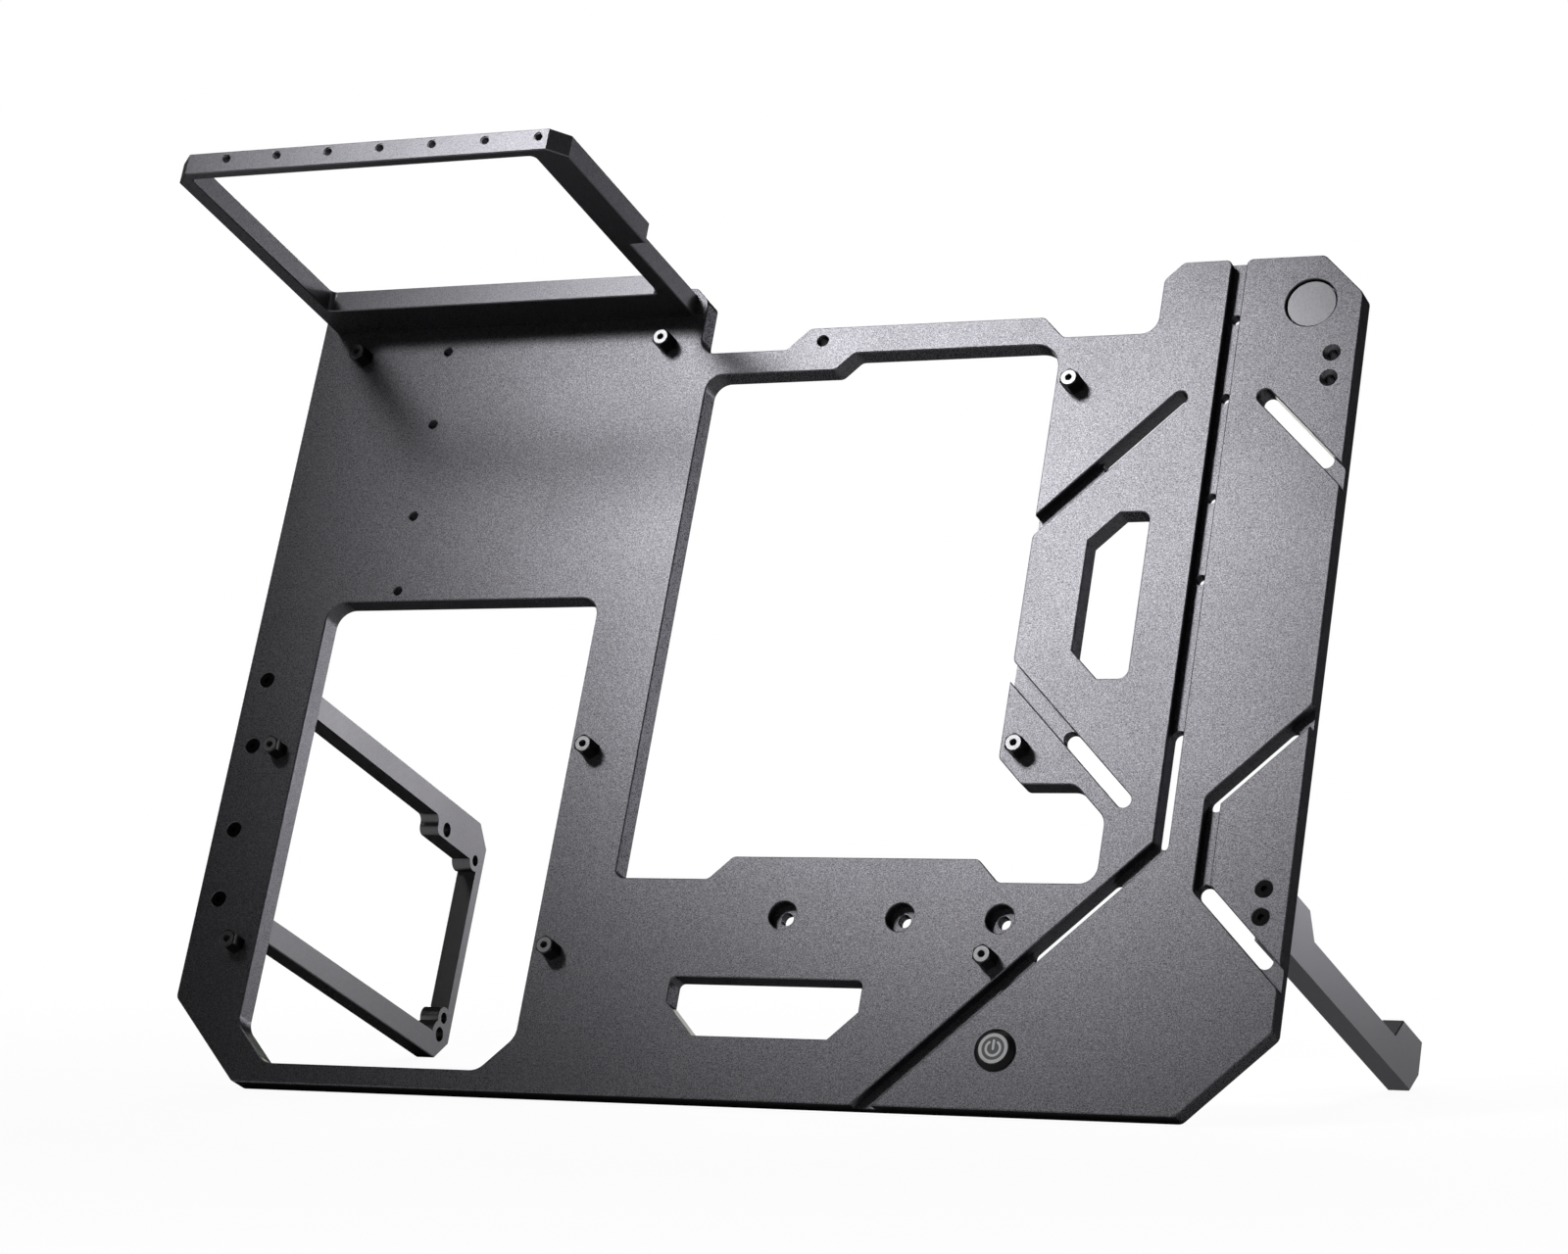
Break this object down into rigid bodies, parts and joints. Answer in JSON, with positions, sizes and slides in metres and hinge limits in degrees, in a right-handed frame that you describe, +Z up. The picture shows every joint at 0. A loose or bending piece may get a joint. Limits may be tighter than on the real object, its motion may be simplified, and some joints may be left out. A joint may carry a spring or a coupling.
{
  "type": "open air test bench",
  "caption": "Leaning open air test bench for a computer: a pierced and grooved plate with board standoffs, a card slot bracket, a rear power supply frame, a leg and a power button.",
  "frame": {"origin": "the middle of the bounding box at the ground that the plate's lower edge and the two rear feet stand on", "axes": "+X to the right along the plate as seen from the front, +Y to the back, +Z up; the front faces -Y and the plate leans back by 22 degrees"},
  "size_m": [0.3988, 0.2113, 0.3219],
  "materials": {
    "black_anodised": "fine blasted black anodised",
    "standoff_metal": "black plated with a bright turned top",
    "screw_steel": "black oxide",
    "badge_metal": "satin",
    "switch_black": "black anodised",
    "ring_lens": "translucent, unlit",
    "switch_plastic": "moulded",
    "terminal_brass": "tinned"
  },
  "bodies": {
    "bench": {"main_plate": "black_anodised", "slot_bracket": "black_anodised", "supply_frame": "black_anodised", "side_leg": "black_anodised", "badge_disc": "badge_metal", "standoff_1": "standoff_metal", "standoff_2": "standoff_metal", "standoff_3": "standoff_metal", "standoff_4": "standoff_metal", "standoff_5": "standoff_metal", "standoff_6": "standoff_metal", "standoff_7": "standoff_metal", "standoff_8": "standoff_metal", "standoff_9": "standoff_metal", "bracket_screw_1": "screw_steel", "bracket_screw_2": "screw_steel", "bracket_screw_3": "screw_steel", "frame_screw_1": "screw_steel", "frame_screw_2": "screw_steel", "frame_screw_3": "screw_steel", "frame_screw_4": "screw_steel", "leg_screw_1": "screw_steel", "leg_screw_2": "screw_steel", "switch_body": "switch_black", "switch_base": "switch_plastic", "switch_nut": "switch_black", "switch_terminal_1": "terminal_brass", "switch_terminal_2": "terminal_brass", "switch_terminal_3": "terminal_brass", "switch_terminal_4": "terminal_brass"},
    "button": {"switch_cap": "switch_black", "switch_ring": "ring_lens"}
  },
  "joints": [
    {"name": "power_button_press", "type": "slide", "parent": "bench", "child": "button", "axis": [0, 0.9272, -0.3746], "range_m": [0, 0.001], "stiffness_N_per_m": 2000, "springref_m": -0.0005}
  ]
}
